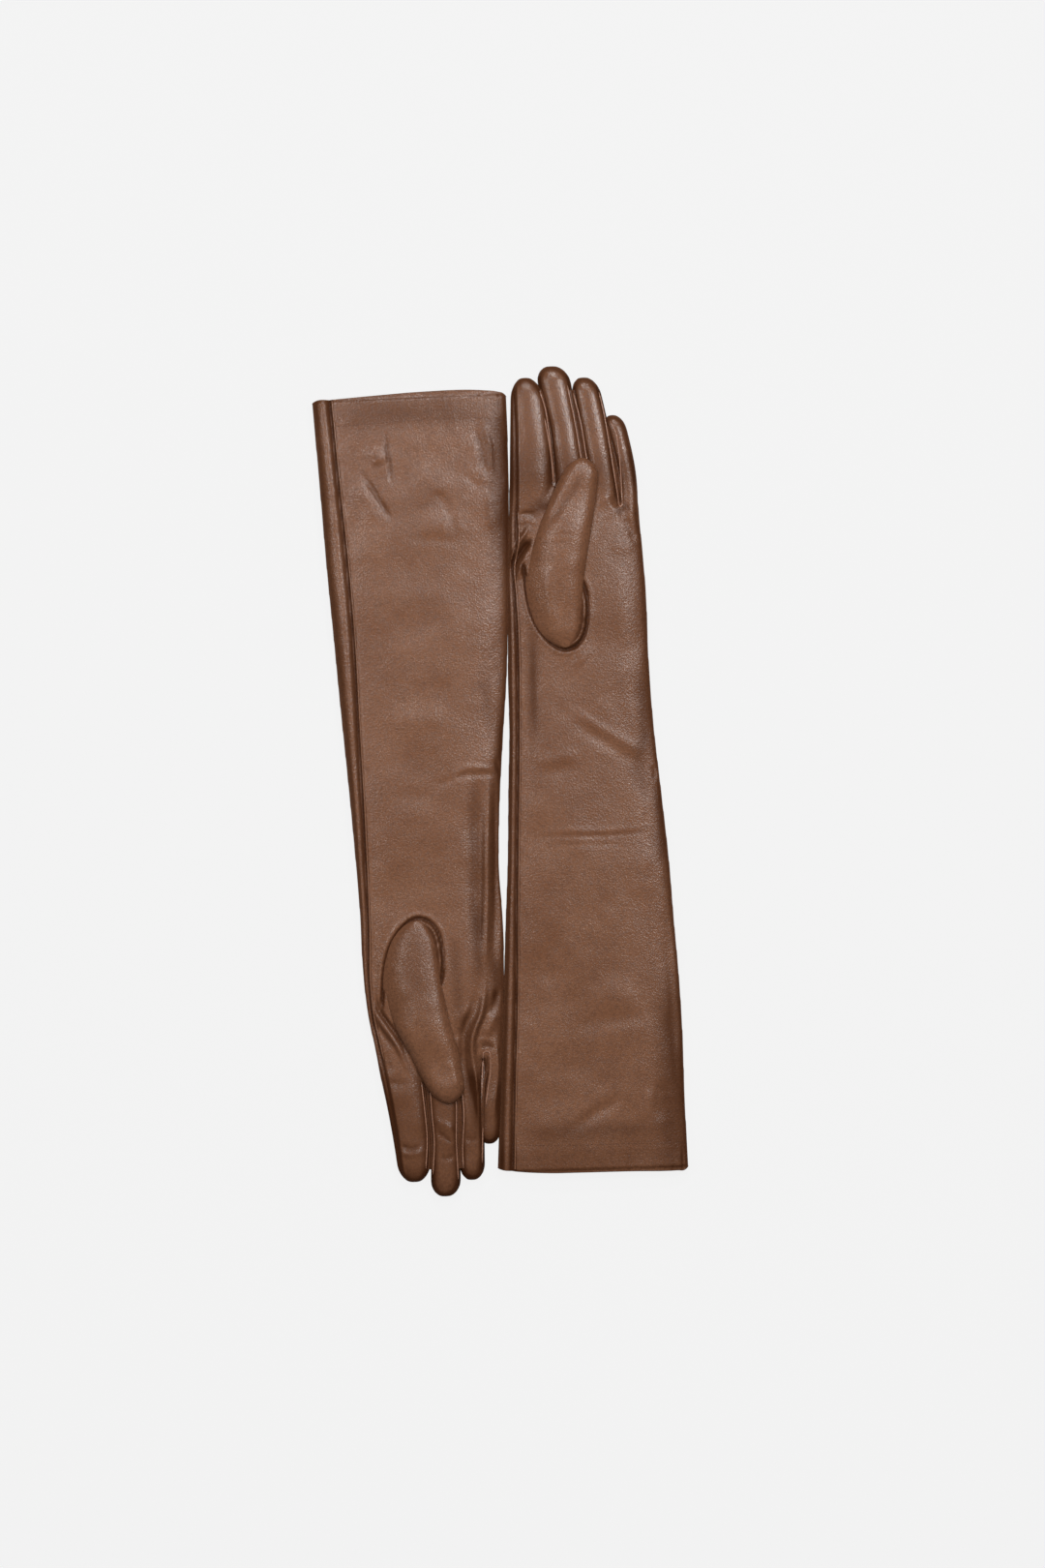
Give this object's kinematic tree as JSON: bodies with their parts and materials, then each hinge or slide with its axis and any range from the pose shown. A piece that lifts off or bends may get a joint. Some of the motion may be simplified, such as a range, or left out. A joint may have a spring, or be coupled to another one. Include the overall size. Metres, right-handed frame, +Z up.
{
  "type": "pair of long gloves",
  "caption": "Pair of elbow-length dress gloves in soft leather, palm up and head to tail: lined sleeves, set-in thumbs, side-stripped fingers, each bending at the wrist.",
  "frame": {"origin": "middle of the box round both gloves, on the table they lie on", "axes": "+Y along the gloves, towards the left glove's fingertips; +X from the right glove to the left glove; +Z up out of the palms"},
  "size_m": [0.2466, 0.5401, 0.0259],
  "materials": {
    "leather": "smooth nappa, satin",
    "lining": "fine knitted silk",
    "thread": "matt thread"
  },
  "bodies": {
    "left_sleeve": {"left_sleeve": "leather", "left_sleeve_lining": "lining", "left_hem_band": "leather", "left_sleeve_thread": "thread", "left_hem_thread": "thread"},
    "left_hand": {"left_hand": "leather", "left_hand_lining": "lining", "left_palm_thread": "thread", "left_thumb_thread": "thread", "left_fourchette_index_middle": "leather", "left_fourchette_middle_ring": "leather", "left_fourchette_ring_little": "leather"},
    "left_thumb": {"left_thumb": "leather", "left_thumb_lining": "lining"},
    "left_index": {"left_index_tip": "leather", "left_index_tip_fourchette": "leather", "left_index_tip_lining": "lining"},
    "left_middle": {"left_middle_tip": "leather", "left_middle_tip_fourchette": "leather", "left_middle_tip_lining": "lining"},
    "left_ring": {"left_ring_tip": "leather", "left_ring_tip_fourchette": "leather", "left_ring_tip_lining": "lining"},
    "left_little": {"left_little_tip": "leather", "left_little_tip_fourchette": "leather", "left_little_tip_lining": "lining"},
    "right_sleeve": {"right_sleeve": "leather", "right_sleeve_lining": "lining", "right_hem_band": "leather", "right_sleeve_thread": "thread", "right_hem_thread": "thread"},
    "right_hand": {"right_hand": "leather", "right_hand_lining": "lining", "right_palm_thread": "thread", "right_thumb_thread": "thread", "right_fourchette_index_middle": "leather", "right_fourchette_middle_ring": "leather", "right_fourchette_ring_little": "leather"},
    "right_thumb": {"right_thumb": "leather", "right_thumb_lining": "lining"},
    "right_index": {"right_index_tip": "leather", "right_index_tip_fourchette": "leather", "right_index_tip_lining": "lining"},
    "right_middle": {"right_middle_tip": "leather", "right_middle_tip_fourchette": "leather", "right_middle_tip_lining": "lining"},
    "right_ring": {"right_ring_tip": "leather", "right_ring_tip_fourchette": "leather", "right_ring_tip_lining": "lining"},
    "right_little": {"right_little_tip": "leather", "right_little_tip_fourchette": "leather", "right_little_tip_lining": "lining"}
  },
  "joints": [
    {"name": "right_glove_lift", "type": "slide", "parent": "left_sleeve", "child": "right_sleeve", "axis": [0, 0, 1], "range_m": [0, 0.08]},
    {"name": "left_wrist_bend", "type": "hinge", "parent": "left_sleeve", "child": "left_hand", "pos_m": [0.05257, 0.04688, 0.013], "axis": [0.9996, 0.0279, 0], "range_deg": [0, 70]},
    {"name": "left_thumb_lift", "type": "hinge", "parent": "left_hand", "child": "left_thumb", "pos_m": [0.03998, 0.08595, 0.0132], "axis": [0.994, -0.1092, 0], "range_deg": [0, 60]},
    {"name": "left_index_curl", "type": "hinge", "parent": "left_hand", "child": "left_index", "pos_m": [0.01905, 0.22302, 0.0124], "axis": [0.9983, 0.0575, 0], "range_deg": [0, 85]},
    {"name": "left_middle_curl", "type": "hinge", "parent": "left_hand", "child": "left_middle", "pos_m": [0.04063, 0.22862, 0.0124], "axis": [0.9928, 0.1195, 0], "range_deg": [0, 85]},
    {"name": "left_ring_curl", "type": "hinge", "parent": "left_hand", "child": "left_ring", "pos_m": [0.06093, 0.22318, 0.0124], "axis": [0.9864, 0.1645, 0], "range_deg": [0, 85]},
    {"name": "left_little_curl", "type": "hinge", "parent": "left_hand", "child": "left_little", "pos_m": [0.08043, 0.20672, 0.0124], "axis": [0.9879, 0.1549, 0], "range_deg": [0, 85]},
    {"name": "right_wrist_bend", "type": "hinge", "parent": "right_sleeve", "child": "right_hand", "pos_m": [-0.04846, -0.04971, 0.013], "axis": [-0.999, -0.0436, 0], "range_deg": [0, 70]},
    {"name": "right_thumb_lift", "type": "hinge", "parent": "right_hand", "child": "right_thumb", "pos_m": [-0.05824, -0.08958, 0.0132], "axis": [-0.9837, -0.18, 0], "range_deg": [0, 60]},
    {"name": "right_index_curl", "type": "hinge", "parent": "right_hand", "child": "right_index", "pos_m": [-0.0637, -0.22254, 0.0124], "axis": [-0.9917, -0.1286, 0], "range_deg": [0, 85]},
    {"name": "right_middle_curl", "type": "hinge", "parent": "right_hand", "child": "right_middle", "pos_m": [-0.04, -0.22851, 0.0124], "axis": [-0.9968, -0.0797, 0], "range_deg": [0, 85]},
    {"name": "right_ring_curl", "type": "hinge", "parent": "right_hand", "child": "right_ring", "pos_m": [-0.0211, -0.22068, 0.0124], "axis": [-0.998, -0.0633, 0], "range_deg": [0, 85]},
    {"name": "right_little_curl", "type": "hinge", "parent": "right_hand", "child": "right_little", "pos_m": [-0.00696, -0.20405, 0.0124], "axis": [-0.9996, -0.0272, 0], "range_deg": [0, 85]}
  ]
}
